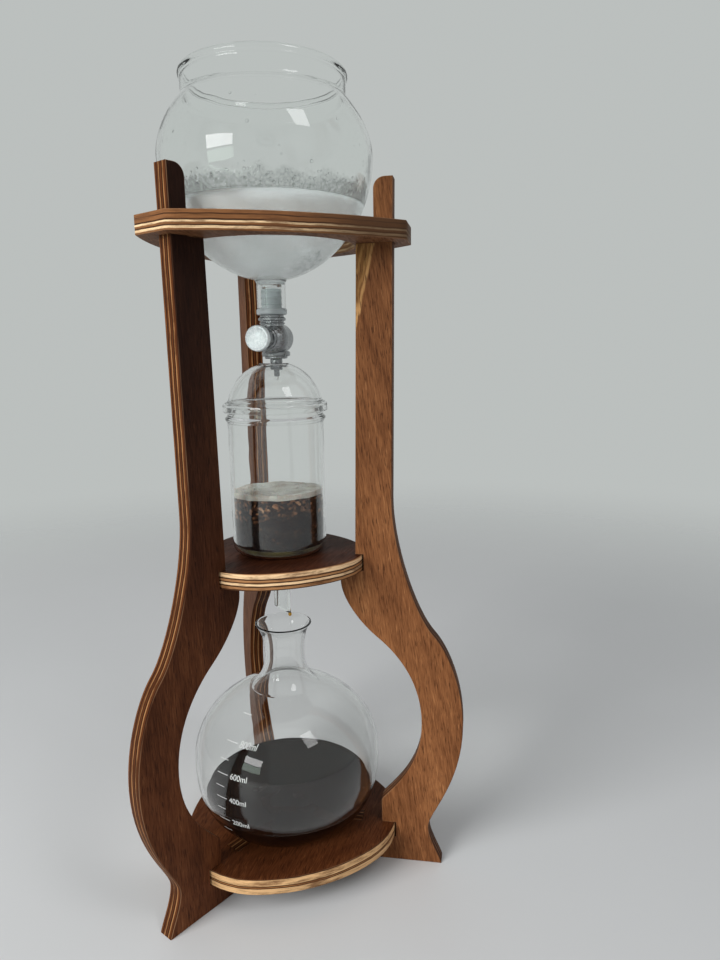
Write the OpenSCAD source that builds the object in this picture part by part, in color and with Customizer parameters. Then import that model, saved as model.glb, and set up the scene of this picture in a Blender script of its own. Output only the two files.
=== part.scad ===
// Cold drip coffee tower: three plywood legs carry a top ring, a middle shelf and a base plate.
// A glass water bulb sits in the ring, its needle valve drips into a domed brewing chamber on the
// shelf, and the coffee runs down the chamber's tube into the flask on the base plate.
// Millimetres, +Z up, feet on z = 0. One leg points to +Y, the other two to the front left and right.

/* [Plywood frame] */
// Thickness of the plywood
ply_t = 11; // [10:0.5:12]
// Height of the legs
leg_h = 460; // [455:1:470]
// Height of the foot lip under the base plate
foot_lip_h = 17.4; // [15:0.2:20]
// Height of the lip under the middle shelf
shelf_lip_h = 212.9; // [208:0.5:216]
// Height of the shoulder under the top ring
shoulder_h = 421.8; // [418:0.2:424]
// Reach of the foot tips from the tower's axis
foot_r = 110.5; // [106:0.5:114]
// Reach of the leg's belly from the tower's axis
belly_r = 124.6; // [122:0.2:128]
// Height of the belly
belly_h = 105.5; // [102:0.5:109]

/* [Plates] */
// Base plate, axis to the middle of each long edge
base_mid_r = 70; // [68:0.5:72]
// Base plate, axis to its round corners at the legs
base_corner_r = 77.6; // [77:0.1:78.5]
// Base plate, radius of the long edges
base_edge_r = 110; // [106:1:116]
// Middle shelf, axis to the middle of each long edge
shelf_mid_r = 51.6; // [50.5:0.1:52]
// Middle shelf, axis to its round corners at the legs
shelf_corner_r = 57.2; // [56.8:0.1:57.6]
// Middle shelf, radius of the long edges
shelf_edge_r = 80; // [77:1:84]
// Top ring, axis to the middle of each long edge
ring_mid_r = 65.6; // [64:0.2:68]
// Top ring, axis to its flat ends behind the legs
ring_end_r = 88.5; // [87:0.5:90]
// Top ring, radius of the long edges
ring_edge_r = 261; // [250:1:270]
// Hole in the shelf for the drip tube, radius
shelf_hole_r = 9; // [8:0.5:11]

/* [Glass] */
// Largest radius of the water bulb
bulb_r = 66.3; // [65:0.1:67]
// Radius of the bulb's lip
bulb_lip_r = 51.2; // [50.8:0.1:52]
// Wall of the water bulb
bulb_wall = 2.2; // [1.8:0.1:2.6]
// Outer radius of the brewing chamber
chamber_r = 31.4; // [30.5:0.1:32]
// Wall of the chamber and its dome
chamber_wall = 1.8; // [1.5:0.1:2.2]
// Largest radius of the flask
flask_r = 65; // [63:0.5:66]
// Wall of the flask
flask_wall = 1.8; // [1.5:0.1:2.2]
// Height of the flask
flask_h = 143.7; // [141:0.1:145]

/* [Valve] */
// Height of the needle's axis above the table
valve_h = 365.5; // [364:0.5:367]
// Direction of the knob, degrees from +X
knob_azimuth = -127; // [-145:1:-115]
// Radius of the knob
knob_r = 8; // [7:0.5:9]

/* [Contents] */
// Water level above the table
water_level = 446.5; // [438:0.5:460]
// Top of the coffee grounds above the table
grounds_level = 265; // [250:1:290]
// Level of the brewed coffee above the base plate
coffee_level = 21; // [10:1:50]

/* [Hidden] */
$fn = 96;
gap = 0.3;        // clearance between loose pieces
cut = 1;          // how far a cutter runs past the face it cuts
steps = 12;       // points along each curved stretch
leg_azimuths = [210, 330, 90];
mid_azimuths = [270, 30, 150];

// The tower's axis is set so that the origin is midway between the rear belly and the base's front edge.
axis_y = -(belly_r - base_mid_r) / 2;

// ---- heights of the plates ----
base_top = foot_lip_h + ply_t;
shelf_top = shelf_lip_h + ply_t;
ring_top = shoulder_h + ply_t;

// ---- leg outline, as distance from the axis and height ----
post_out_r = [79.4, 77.2];      // outer face of the post, at the top and where it starts to curve
post_out_h = 262;               // height where the outer face starts to curve
post_in_r = [56.3, 52.6];       // inner face of the post, under the ring and over the shelf
tenon_in_r = 67.4;              // inner face of the tenon through the ring
tenon_round = 7;                // rounded inner corner at the leg's top
waist_r = 101.2;                // narrow place above the foot
waist_h = 28;
hip = [105, 168.9];             // where the outer curve turns over into the belly
shelf_tip_r = 42.4;             // reach of the lip under the shelf
shelf_tip_h = 206;              // height where that lip starts to curve away
notch_play = 0.8;               // room between a plate's corner and the end of its notch
shelf_notch_r = shelf_corner_r + notch_play;
brow = [67, 166.3];             // where the inner curve turns over into the belly
belly_in_r = 96.6;              // inner side of the belly
base_lip = [69.2, 47];          // corner of the lip over the base plate
base_notch_r = base_corner_r + notch_play;
foot_tip_r = 37;                // reach of the foot under the base plate
foot_tenon_r = [41.6, 54.2];    // tenon through the base plate
slack = 0.2;                    // play of the plates in notches and mortises

// ---- water bulb: half-height and fullness of its lower and upper halves ----
bulb_low = [73, 1.92];
bulb_high = [58, 1.76];
bulb_low_last = 0.9905;         // share of the half-height where the stem's curve takes over
bulb_high_last = 0.571;         // share of the half-height where the neck takes over
bulb_eq_h = ring_top + 41.4;    // height of the largest radius
bulb_neck_r = 50;
bulb_neck_l = 14;               // from the lip's top down to the end of the straight neck
bulb_lip_h = bulb_eq_h + 49;    // top of the lip
lip_round = 2.7;
bulb_stem_r = 9.1;
bulb_stem_h = 384.5;            // lower end of the stem
stem_bore_r = bulb_stem_r - bulb_wall;
ring_hole_r = bulb_r * super_r((bulb_eq_h - ring_top) / bulb_low[0], bulb_low[1]) + gap;

// ---- stopper in the stem and the tube through it ----
stopper_top = 396.5;
stopper_flange_r = bulb_stem_r + 0.6;
stopper_bore_r = 4;
tube_ends = [374, 393];
inlet_bore_r = 2.4;
water_bottom = stopper_top + 1;

// ---- valve: lengths along the needle's axis, outwards from the tower's axis ----
body_ball_r = 10.8;
body_top = 380.4;
body_bottom = 352.6;
upper_collar = [376.6, 378.8, 8.8];     // lower and upper height, radius
lower_collar = [354, 357.4, 9.2];
body_neck_r = [7.6, 7.4];               // above and below the ball
cap_rim = 2.5;                          // length of the cap's chamfer
boss_r = 6.8;
boss_end = 11.5;
neck_r = 4.6;
neck_end = 14.6;
cap_r = 9.6;
cap_end = 15;
needle_chamber = [-1.8, 5];
needle_chamber_r = 3;
seat_r = 1;
outlet_u = -4.5;                // the outlet, its collar and the nozzle stand behind the seat
outlet_r = 1.3;
inlet_r = 1.6;
thread_r = 2.4;
thread_span = [3.2, 12.8];
spindle_r = 2;
needle_r = 1.5;
needle_tip = [-3, -0.6, 0.3];   // start and end of the cone, radius at its point
fit_play = 0.05;
nut_r = 6.4;
nut_end = 17;
packing_r = 3.5;
packing = [14.7, 16];
hub_start = 18.6;
disc_start = 20.8;
hub_r = 4.2;
knob_face = 25.4;
knob_chamfer = 0.8;
knob_floor = 1.5;               // metal left over the knob's bore
knob_grooves = 24;
groove_r = 0.6;
groove_out = 0.25;              // how far outside the rim the grooves are centred
nozzle_bottom = 341.2;
nozzle_step_h = 345.6;          // height where the nozzle's nut ends
nozzle_r = [4, 1.8];            // its nut and its spout
nozzle_bore_r = 1;

// ---- brewing chamber and dome ----
chamber_bottom = shelf_top + gap;
bead_h = [shelf_top + 88.4, shelf_top + 92.4];
bead_r = 32.9;
bead_round = 1.5;
chamber_round = 7;              // rounded bottom edge
chamber_corner = [chamber_r - chamber_round, chamber_bottom + chamber_round];
tube_r = 5.6;
tube_bore_r = 4.2;
tube_tip = [178.6, 185.2];      // low and high side of the slanted tip
skirt_h = [shelf_top + 95, shelf_top + 101.6];
skirt_r = 34.3;
chamber_top = skirt_h[1] - chamber_wall - gap;
dome_r = 31.3;
dome_centre_h = shelf_top + 95.8;
dome_hole_r = 8.9;
filter_t = 5;
paper_t = 3;                    // the wet paper with the foam on it

// ---- flask: heights above its bottom ----
flask_bottom = base_top + gap;
flask_eq = 49.2;                // height of the largest radius
flask_eq_h = flask_bottom + flask_eq;
flask_low = [56.7, 2.66];       // half-height and fullness of the lower half
flask_high = 53.6;
flask_high_last = 0.93;         // share of the half-height where the neck's curve takes over
flask_waist = [13.9, 121.8];
flask_neck_low = [19, 103];     // pulls the neck's curve in over the shoulder
flask_neck_h = 108;
flask_flare = [15.5, 139];      // pulls the neck's curve out under the mouth
flask_flare_h = 131;
flask_mouth_r = 19.4;
mouth_round = 0.9;

// Radius, as a share of the largest one, at a share x of the half-height; n sets the fullness.
function super_r(x, n) = pow(max(0, 1 - pow(abs(x), n)), 1 / n);

// Points along a cubic curve from a to d, without its first one.
function bow(a, b, c, d, n = steps) = [
    for (i = [1 : n])
        let (t = i / n, s = 1 - t)
        s * s * s * a + 3 * s * s * t * b + 3 * s * t * t * c + t * t * t * d
];

// Points along a round arc, angles in degrees.
function arc(centre, r, from, to, n = steps) = [
    for (i = [0 : n])
        let (a = from + (to - from) * i / n)
        centre + r * [cos(a), sin(a)]
];

// Profile of a half body from its equator height h to a share `last` of its half-height b.
function half_body(h, b, n, r, last) = [
    for (i = [0 : steps * 2])
        let (x = last * sin(90 * i / (steps * 2)))
        [r * super_r(x, n), h + b * x]
];

function reversed(p) = [for (i = [len(p) - 1 : -1 : 0]) p[i]];

// ---- placing ----
module at_axis() {
    translate([0, axis_y, 0])
        children();
}

module along_needle() {
    at_axis()
        translate([0, 0, valve_h])
            rotate([0, 0, knob_azimuth])
                rotate([0, 90, 0])
                    children();
}

module over_outlet() {
    rotate([0, 0, knob_azimuth])
        translate([outlet_u, 0, 0])
            children();
}

// A round rod along the needle's axis between two lengths, r1 at the first.
module rod(u1, u2, r1, r2 = -1) {
    translate([0, 0, u1])
        cylinder(h = u2 - u1, r1 = r1, r2 = r2 < 0 ? r1 : r2);
}

module upright(h1, h2, r) {
    translate([0, 0, h1])
        cylinder(h = h2 - h1, r = r);
}

// ---- plywood ----
function outer_edge() = concat(
    [[post_out_r[0], leg_h], [post_out_r[1], post_out_h]],
    bow([post_out_r[1], post_out_h], [76.8, 231.6], [91.5, 184.1], hip),
    bow(hip, [114.4, 158.4], [belly_r, 133.1], [belly_r, belly_h]),
    bow([belly_r, belly_h], [belly_r, 62.4], [waist_r, 37.9], [waist_r, waist_h]),
    bow([waist_r, waist_h], [waist_r, 18], [108, 8], [foot_r, 0])
);

function foot_lip() = [
    [foot_tip_r, 0],
    [foot_tip_r, foot_lip_h],
    [foot_tenon_r[0], foot_lip_h],
    [foot_tenon_r[0], base_top],
    [foot_tenon_r[1], base_top],
    [foot_tenon_r[1], foot_lip_h],
    [base_notch_r, foot_lip_h],
    [base_notch_r, base_top + slack],
    [base_lip[0] - 0.7, base_top + slack],
    [base_lip[0] - 0.7, base_lip[1] - 1.5]
];

function inner_edge() = concat(
    [base_lip],
    reversed(concat(
        [[shelf_tip_r, shelf_tip_h]],
        bow([shelf_tip_r, shelf_tip_h], [shelf_tip_r, 193.5], [54.7, 176.4], brow),
        bow(brow, [82.3, 153.7], [belly_in_r, 134], [belly_in_r, 105.3]),
        bow([belly_in_r, 105.3], [belly_in_r, 75.6], [79.7, 58.6], base_lip + [1, 1.1])
    ))
);

function post_inside() = concat(
    [
        [shelf_tip_r, shelf_lip_h],
        [shelf_notch_r, shelf_lip_h],
        [shelf_notch_r, shelf_top + slack],
        [post_in_r[1], shelf_top + slack],
        [post_in_r[0], shoulder_h],
        [tenon_in_r, shoulder_h]
    ],
    reversed(arc([tenon_in_r + tenon_round, leg_h - tenon_round], tenon_round, 90, 180, 6))
);

module leg(azimuth) {
    at_axis()
        rotate([0, 0, azimuth])
            rotate([90, 0, 0])
                translate([0, 0, -ply_t / 2])
                    linear_extrude(ply_t)
                        polygon(concat(outer_edge(), foot_lip(), inner_edge(), post_inside()));
}

module leg_left() {
    color("#4a2616")
        leg(leg_azimuths[0]);
}

module leg_right() {
    color("#7a4a2a")
        leg(leg_azimuths[1]);
}

module leg_rear() {
    color("#5f3820")
        leg(leg_azimuths[2]);
}

// Three-sided outline: bowed long edges between flat ends at distance end_r behind each leg.
module bowed_triangle(mid_r, edge_r, end_r) {
    intersection_for (a = mid_azimuths)
        rotate([0, 0, a])
            translate([mid_r - edge_r, 0])
                intersection() {
                    circle(r = edge_r, $fn = 180);
                    translate([edge_r - mid_r - end_r, -edge_r])
                        square([2 * edge_r, 2 * edge_r]);
                }
}

// Three-sided outline: bowed long edges that run smoothly into round corners behind each leg.
module round_triangle(mid_r, edge_r, corner_r) {
    back = edge_r - mid_r;
    inset = edge_r - corner_r;
    centre_r = (back * back - inset * inset) / (2 * inset - back);
    turn = atan2(centre_r * sin(60), centre_r * cos(60) + back);
    polygon([
        for (a = leg_azimuths)
            each concat(
                arc(centre_r * [cos(a), sin(a)], corner_r - centre_r, a + turn - 60, a + 60 - turn),
                arc(-back * [cos(a + 60), sin(a + 60)], edge_r, a + 60 - turn + 1, a + 60 + turn - 1, 24)
            )
    ]);
}

module mortises(r1, r2) {
    for (a = leg_azimuths)
        rotate([0, 0, a])
            translate([r1 - slack, -ply_t / 2 - slack])
                square([r2 - r1 + 2 * slack, ply_t + 2 * slack]);
}

module top_ring() {
    color("#6b4226")
        at_axis()
            translate([0, 0, shoulder_h])
                linear_extrude(ply_t)
                    difference() {
                        bowed_triangle(ring_mid_r, ring_edge_r, ring_end_r);
                        circle(r = ring_hole_r);
                        mortises(tenon_in_r, post_out_r[0] - slack);
                    }
}

module middle_shelf() {
    color("#6b4226")
        at_axis()
            translate([0, 0, shelf_lip_h])
                linear_extrude(ply_t)
                    difference() {
                        round_triangle(shelf_mid_r, shelf_edge_r, shelf_corner_r);
                        circle(r = shelf_hole_r);
                    }
}

module base_plate() {
    color("#7a4a2a")
        at_axis()
            translate([0, 0, foot_lip_h])
                linear_extrude(ply_t)
                    difference() {
                        round_triangle(base_mid_r, base_edge_r, base_corner_r);
                        mortises(foot_tenon_r[0], foot_tenon_r[1]);
                    }
}

// ---- water bulb ----
// Outline from the stem up to the neck, drawn in by w for the inside.
function bulb_outline(w) = concat(
    [[bulb_stem_r - w, bulb_stem_h]],
    bow(
        [bulb_stem_r - w, bulb_eq_h - bulb_low[0] - 2],
        [bulb_stem_r - w, bulb_eq_h - bulb_low[0] + 1],
        [bulb_stem_r + 3 - w, bulb_eq_h - bulb_low[0] + 0.5 + w / 2],
        [(bulb_r - w) * super_r(bulb_low_last, bulb_low[1]), bulb_eq_h - (bulb_low[0] - w) * bulb_low_last],
        steps / 2
    ),
    reversed(half_body(bulb_eq_h, w - bulb_low[0], bulb_low[1], bulb_r - w, bulb_low_last)),
    half_body(bulb_eq_h, bulb_high[0] - w, bulb_high[1], bulb_r - w, bulb_high_last)
);

module water_bulb() {
    outside = concat(
        bulb_outline(0),
        [[bulb_neck_r, bulb_lip_h - bulb_neck_l], [bulb_neck_r, bulb_lip_h - 2.5 * lip_round]],
        arc([bulb_lip_r - lip_round, bulb_lip_h - lip_round], lip_round, -60, 90, 8)
    );
    inside = concat(
        bulb_outline(bulb_wall),
        [[bulb_neck_r - bulb_wall, bulb_lip_h - bulb_neck_l], [bulb_neck_r - bulb_wall, bulb_lip_h]]
    );
    color("#d9eef2", 0.35)
        at_axis()
            rotate_extrude()
                polygon(concat(outside, reversed(inside)));
}

module water() {
    inset = bulb_wall + slack;
    level = (water_level - bulb_eq_h) / (inset - bulb_low[0]);
    color("#cfe3ea", 0.4)
        at_axis()
            rotate_extrude()
                polygon(concat(
                    [[0, water_bottom], [stem_bore_r - slack, water_bottom]],
                    [for (q = bulb_outline(inset)) if (q[1] > water_bottom + 1 && q[1] < water_level - 1) q],
                    [
                        [(bulb_r - inset) * super_r(level, bulb_low[1]), water_level],
                        [0, water_level]
                    ]
                ));
}

// ---- valve ----
module stopper_sleeve() {
    color("#b9c4c8", 0.6)
        at_axis()
            difference() {
                union() {
                    upright(bulb_stem_h - gap, stopper_top, stem_bore_r - slack);
                    upright(body_top, bulb_stem_h - gap, stopper_flange_r);
                }
                upright(body_top - cut, stopper_top + cut, stopper_bore_r);
            }
}

module inlet_tube() {
    color("#9aa0a4")
        at_axis()
            difference() {
                upright(tube_ends[0], tube_ends[1], stopper_bore_r);
                upright(tube_ends[0] - cut, tube_ends[1] + cut, inlet_bore_r);
            }
}

module valve_body() {
    color("#c9cdd0")
        difference() {
            union() {
                at_axis() {
                    translate([0, 0, valve_h])
                        sphere(r = body_ball_r);
                    upright(valve_h, body_top, body_neck_r[0]);
                    upright(upper_collar[0], upper_collar[1], upper_collar[2]);
                    over_outlet() {
                        upright(lower_collar[0], lower_collar[1], lower_collar[2]);
                        upright(body_bottom, valve_h, body_neck_r[1]);
                    }
                }
                along_needle() {
                    rod(0, boss_end, boss_r);
                    rod(boss_end, neck_end, neck_r);
                    rod(cap_rim - cap_end, 0, cap_r);
                    rod(-cap_end, cap_rim - cap_end, cap_r - 2, cap_r);
                }
            }
            at_axis() {
                upright(tube_ends[0], body_top + cut, stopper_bore_r);
                upright(valve_h, tube_ends[0] + cut, inlet_r);
                over_outlet()
                    upright(body_bottom - cut, valve_h, outlet_r);
            }
            along_needle() {
                rod(needle_chamber[0], needle_chamber[1], needle_chamber_r);
                rod(needle_chamber[1], neck_end + cut, thread_r + fit_play);
                rod(outlet_u, needle_chamber[0] + cut, seat_r);
            }
        }
}

module drip_nozzle() {
    color("#b4b8bb")
        at_axis()
            over_outlet()
                difference() {
                    union() {
                        upright(nozzle_step_h, body_bottom, nozzle_r[0]);
                        upright(nozzle_bottom, nozzle_step_h, nozzle_r[1]);
                    }
                    upright(nozzle_bottom - cut, body_bottom + cut, nozzle_bore_r);
                }
}

module gland_nut() {
    color("#c9cdd0")
        along_needle()
            difference() {
                translate([0, 0, boss_end])
                    cylinder(h = nut_end - boss_end, r = nut_r, $fn = 6);
                rod(boss_end - cut, neck_end, neck_r);
                rod(neck_end - 0.1, packing[1], packing_r);
                rod(packing[1] - 0.1, nut_end + cut, spindle_r + fit_play);
            }
}

module packing_ring() {
    color("#2b2b2b")
        along_needle()
            difference() {
                rod(packing[0], packing[1], packing_r);
                rod(packing[0] - cut, packing[1] + cut, spindle_r + fit_play);
            }
}

module needle() {
    color("#d8dadc")
        along_needle() {
            rod(needle_tip[0], needle_tip[1], needle_tip[2], needle_r);
            rod(needle_tip[1], thread_span[0], needle_r);
            rod(thread_span[0], thread_span[1], thread_r);
            rod(thread_span[1], knob_face - knob_floor - 0.1, spindle_r);
        }
}

module valve_knob() {
    color("#eef0f1")
        along_needle()
            difference() {
                union() {
                    rod(hub_start, disc_start, hub_r);
                    rod(disc_start, disc_start + knob_chamfer, knob_r - knob_chamfer, knob_r);
                    rod(disc_start + knob_chamfer, knob_face - knob_chamfer, knob_r);
                    rod(knob_face - knob_chamfer, knob_face, knob_r, knob_r - knob_chamfer);
                }
                rod(hub_start - cut, knob_face - knob_floor, spindle_r + fit_play);
                for (i = [1 : knob_grooves])
                    rotate([0, 0, 360 * i / knob_grooves])
                        translate([knob_r + groove_out, 0, disc_start - cut])
                            cylinder(h = knob_face - disc_start + 2 * cut, r = groove_r, $fn = 16);
            }
}

// ---- brewing chamber ----
module dome_lid() {
    skirt_bore = skirt_r - chamber_wall;
    color("#e3f0f2", 0.3)
        at_axis()
            rotate_extrude()
                difference() {
                    union() {
                        intersection() {
                            translate([0, dome_centre_h])
                                circle(r = dome_r);
                            translate([0, skirt_h[1] - chamber_wall])
                                square([dome_r, dome_r]);
                        }
                        translate([0, skirt_h[0]])
                            square([skirt_r, skirt_h[1] - skirt_h[0]]);
                    }
                    translate([0, dome_centre_h])
                        circle(r = dome_r - chamber_wall);
                    translate([-cut, skirt_h[0] - cut])
                        square([skirt_bore + cut, skirt_h[1] - skirt_h[0] - chamber_wall + cut]);
                    translate([-cut, skirt_h[0] - cut])
                        square([dome_hole_r + cut, 2 * dome_r]);
                }
}

module brew_chamber() {
    inner_r = chamber_r - chamber_wall;
    floor_h = chamber_bottom + chamber_wall;
    outside = concat(
        [[tube_r, chamber_bottom]],
        arc(chamber_corner, chamber_round, -90, 0, 8),
        [[chamber_r, bead_h[0]]],
        arc([bead_r - bead_round, (bead_h[0] + bead_h[1]) / 2], bead_round, -70, 70, 6),
        [[chamber_r, bead_h[1]], [chamber_r, chamber_top]]
    );
    inside = concat(
        [[tube_bore_r, floor_h]],
        arc(chamber_corner, chamber_round - chamber_wall, -90, 0, 8),
        [[inner_r, chamber_top]]
    );
    color("#e3f0f2", 0.3)
        at_axis()
            difference() {
                union() {
                    rotate_extrude()
                        polygon(concat(outside, reversed(inside)));
                    difference() {
                        upright(tube_tip[0], floor_h, tube_r);
                        upright(tube_tip[0] - cut, floor_h + cut, tube_bore_r);
                    }
                }
                slanted_tip();
            }
}

// Wedge that cuts the tube's end at a slant, high on the left.
module slanted_tip() {
    slope = atan2(tube_tip[1] - tube_tip[0], 2 * tube_r);
    translate([tube_r, 0, tube_tip[0]])
        rotate([0, slope, 0])
            translate([-4 * tube_r, -2 * tube_r, -20])
                cube([8 * tube_r, 4 * tube_r, 20]);
}

module filter_pad() {
    inner_r = chamber_r - chamber_wall;
    floor_h = chamber_bottom + chamber_wall + slack;
    color("#b9a14a")
        at_axis()
            difference() {
                upright(floor_h, floor_h + filter_t, inner_r - slack);
                rotate_extrude()
                    polygon(concat(
                        [[inner_r + 2, floor_h - 2], [chamber_corner[0], floor_h - 2]],
                        arc(chamber_corner, chamber_round - chamber_wall - slack, -90, 0, 8),
                        [[inner_r + 2, chamber_corner[1]]]
                    ));
            }
}

module coffee_bed() {
    low = chamber_bottom + chamber_wall + filter_t + 2 * slack;
    color("#2a1508")
        at_axis()
            upright(low, grounds_level, chamber_r - chamber_wall - slack);
}

module paper_disc() {
    low = grounds_level + slack;
    color("#cfc4b4")
        at_axis()
            upright(low, low + paper_t, chamber_r - chamber_wall - 2 * slack);
}

// ---- flask ----
// Outline from the bottom up to the mouth, drawn in by w for the inside.
function flask_outline(w) = concat(
    reversed(half_body(
        flask_eq_h, w - flask_low[0], flask_low[1], flask_r - w, (flask_eq - w) / (flask_low[0] - w)
    )),
    half_body(flask_eq_h, flask_high - w, 2, flask_r - w, flask_high_last),
    bow(
        [(flask_r - w) * super_r(flask_high_last, 2), flask_eq_h + (flask_high - w) * flask_high_last],
        [flask_neck_low[0] - w, flask_bottom + flask_neck_low[1] - w / 2],
        [flask_waist[0] - w, flask_bottom + flask_neck_h],
        [flask_waist[0] - w, flask_bottom + flask_waist[1]],
        8
    ),
    bow(
        [flask_waist[0] - w, flask_bottom + flask_waist[1]],
        [flask_waist[0] - w, flask_bottom + flask_flare_h],
        [flask_flare[0] - w, flask_bottom + flask_flare[1]],
        [flask_mouth_r - mouth_round * w, flask_bottom + flask_h - mouth_round],
        8
    )
);

module flask() {
    color("#e3f0f2", 0.3)
        at_axis()
            rotate_extrude()
                polygon(concat(
                    [[0, flask_bottom]],
                    flask_outline(0),
                    [[flask_mouth_r - 0.8, flask_bottom + flask_h]],
                    reversed(flask_outline(flask_wall)),
                    [[0, flask_bottom + flask_wall]]
                ));
}

module brewed_coffee() {
    inset = flask_wall + slack;
    low = flask_bottom + inset;
    level = base_top + coffee_level;
    share = (flask_eq_h - level) / (flask_low[0] - inset);
    color("#140904")
        at_axis()
            rotate_extrude()
                polygon(concat(
                    [[0, low]],
                    [for (q = flask_outline(inset)) if (q[1] < level - 1) q],
                    [
                        [(flask_r - inset) * super_r(share, flask_low[1]), level],
                        [0, level]
                    ]
                ));
}

leg_left();
leg_right();
leg_rear();
top_ring();
middle_shelf();
base_plate();
water_bulb();
water();
stopper_sleeve();
inlet_tube();
valve_body();
drip_nozzle();
gland_nut();
packing_ring();
needle();
valve_knob();
dome_lid();
brew_chamber();
filter_pad();
coffee_bed();
paper_disc();
flask();
brewed_coffee();
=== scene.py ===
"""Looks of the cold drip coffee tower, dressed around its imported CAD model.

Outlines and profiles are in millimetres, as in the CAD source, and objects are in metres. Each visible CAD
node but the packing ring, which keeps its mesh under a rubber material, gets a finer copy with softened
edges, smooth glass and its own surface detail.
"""

import math
import random

import bmesh
import bpy
from mathutils import Matrix, Vector, noise


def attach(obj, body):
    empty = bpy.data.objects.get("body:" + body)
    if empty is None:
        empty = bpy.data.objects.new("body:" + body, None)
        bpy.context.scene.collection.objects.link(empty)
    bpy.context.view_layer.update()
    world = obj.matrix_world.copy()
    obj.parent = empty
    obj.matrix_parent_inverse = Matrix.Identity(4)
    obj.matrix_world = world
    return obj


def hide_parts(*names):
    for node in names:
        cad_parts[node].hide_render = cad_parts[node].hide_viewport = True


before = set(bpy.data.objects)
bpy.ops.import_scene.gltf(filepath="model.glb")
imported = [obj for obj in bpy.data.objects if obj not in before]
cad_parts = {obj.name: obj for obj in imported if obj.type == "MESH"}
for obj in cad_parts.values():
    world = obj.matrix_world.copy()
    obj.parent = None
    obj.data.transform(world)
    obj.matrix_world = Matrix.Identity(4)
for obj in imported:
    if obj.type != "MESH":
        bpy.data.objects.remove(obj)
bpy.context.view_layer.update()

# ---- sizes shared with the CAD source, in millimetres ----
MM = 0.001
AXIS_Y = -27.3
AXIS = Matrix.Translation((0, AXIS_Y * MM, 0))
LEG_AZIMUTHS = {"leg_left": 210, "leg_right": 330, "leg_rear": 90}
PLY_T = 11
EDGE_BREAK = 0.45
SLACK = 0.2

LEG_H = 460
FOOT_LIP_H, BASE_TOP = 17.4, 28.4
SHELF_LIP_H, SHELF_TOP = 212.9, 223.9
SHOULDER_H, RING_TOP = 421.8, 432.8
TENON_R = (67.4, 79.4)
FOOT_TENON_R = (41.6, 54.2)
BASE_NOTCH_R, SHELF_NOTCH_R = 78.4, 58

BULB_EQ_H = RING_TOP + 41.4
BULB_R, BULB_WALL = 66.3, 2.2
BULB_LOW, BULB_LOW_N, BULB_LOW_LAST = 73, 1.92, 0.9905
BULB_HIGH, BULB_HIGH_N, BULB_HIGH_LAST = 58, 1.76, 0.571
BULB_NECK_R, BULB_LIP_R = 50, 51.2
BULB_LIP_H = BULB_EQ_H + 49
STEM_R, STEM_H = 9.1, 384.5
STEM_BORE_R = STEM_R - BULB_WALL
WATER_LEVEL, WATER_BOTTOM = 446.5, 397.5

VALVE_H, KNOB_AZIMUTH = 365.5, -127
STOPPER_TOP, VALVE_TOP, VALVE_BOTTOM = 396.5, 380.4, 352.6
TUBE_ENDS = (374, 393)
NOZZLE_OFFSET, NOZZLE_STEP_H, NOZZLE_BOTTOM = -4.5, 345.6, 341.2
KNOB_R, KNOB_BACK, KNOB_FACE = 8, 20.8, 25.4

CHAMBER_R, CHAMBER_WALL = 31.4, 1.8
CHAMBER_BOTTOM = SHELF_TOP + 0.3
CHAMBER_INNER_R = CHAMBER_R - CHAMBER_WALL
BEAD_H, BEAD_R = (SHELF_TOP + 88.4, SHELF_TOP + 92.4), 32.9
DRIP_TUBE_R, DRIP_BORE_R = 5.6, 4.2
DRIP_TIP = (178.6, 185.2)
SKIRT_H, SKIRT_R = (SHELF_TOP + 95, SHELF_TOP + 101.6), 34.3
CHAMBER_TOP = SKIRT_H[1] - CHAMBER_WALL - 0.3
DOME_R, DOME_CENTRE_H, DOME_HOLE_R = 31.3, SHELF_TOP + 95.8, 8.9
FILTER_H = (CHAMBER_BOTTOM + CHAMBER_WALL + 0.2, CHAMBER_BOTTOM + CHAMBER_WALL + 5.2)
GROUNDS_LEVEL, FOAM_T = 265, 3

FLASK_BOTTOM, FLASK_WALL, FLASK_H = BASE_TOP + 0.3, 1.8, 143.7
FLASK_R, FLASK_EQ = 65, 49.2
FLASK_LOW, FLASK_LOW_N = 56.7, 2.66
FLASK_HIGH, FLASK_HIGH_LAST = 53.6, 0.93
FLASK_WAIST_R, FLASK_MOUTH_R = 13.9, 19.4
COFFEE_LEVEL = BASE_TOP + 21

# Water and coffee at their glass: how high they climb, how far in from the wall that
# begins, and how far they reach into the wall so that no gap shows
CLIMB, CLIMB_REACH, SINK = 0.9, 2.6, 0.03
# The photo's left-to-right direction, across the floor
PHOTO_RIGHT = (0.93812, -0.34630)

# ---- curves: every point is a (radius or x, height or y) pair ----


def bow(a, b, c, d, count=16):
    """Points along a cubic curve from a to d, without its first one."""
    points = []
    for i in range(1, count + 1):
        t = i / count
        s = 1 - t
        weights = (s**3, 3 * s * s * t, 3 * s * t * t, t**3)
        points.append(tuple(sum(w * p[k] for w, p in zip(weights, (a, b, c, d))) for k in (0, 1)))
    return points


def arc(centre, r, start, end, count):
    """Points along a round arc between two angles in degrees."""
    angles = [math.radians(start + (end - start) * i / count) for i in range(count + 1)]
    return [(centre[0] + r * math.cos(a), centre[1] + r * math.sin(a)) for a in angles]


def polar(r, degrees):
    """X and y at a distance and an azimuth in degrees."""
    return (r * math.cos(math.radians(degrees)), r * math.sin(math.radians(degrees)))


def super_r(x, n):
    """Radius, as a share of the largest one, at a share x of the half-height; n sets the fullness."""
    return max(0.0, 1 - abs(x) ** n) ** (1 / n)


def half_body(h, b, n, r, last):
    """Profile of a half body from its equator height h to a share `last` of its half-height b."""
    count = 40
    shares = [last * math.sin(math.pi / 2 * i / count) for i in range(count + 1)]
    return [(r * super_r(x, n), h + b * x) for x in shares]


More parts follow.
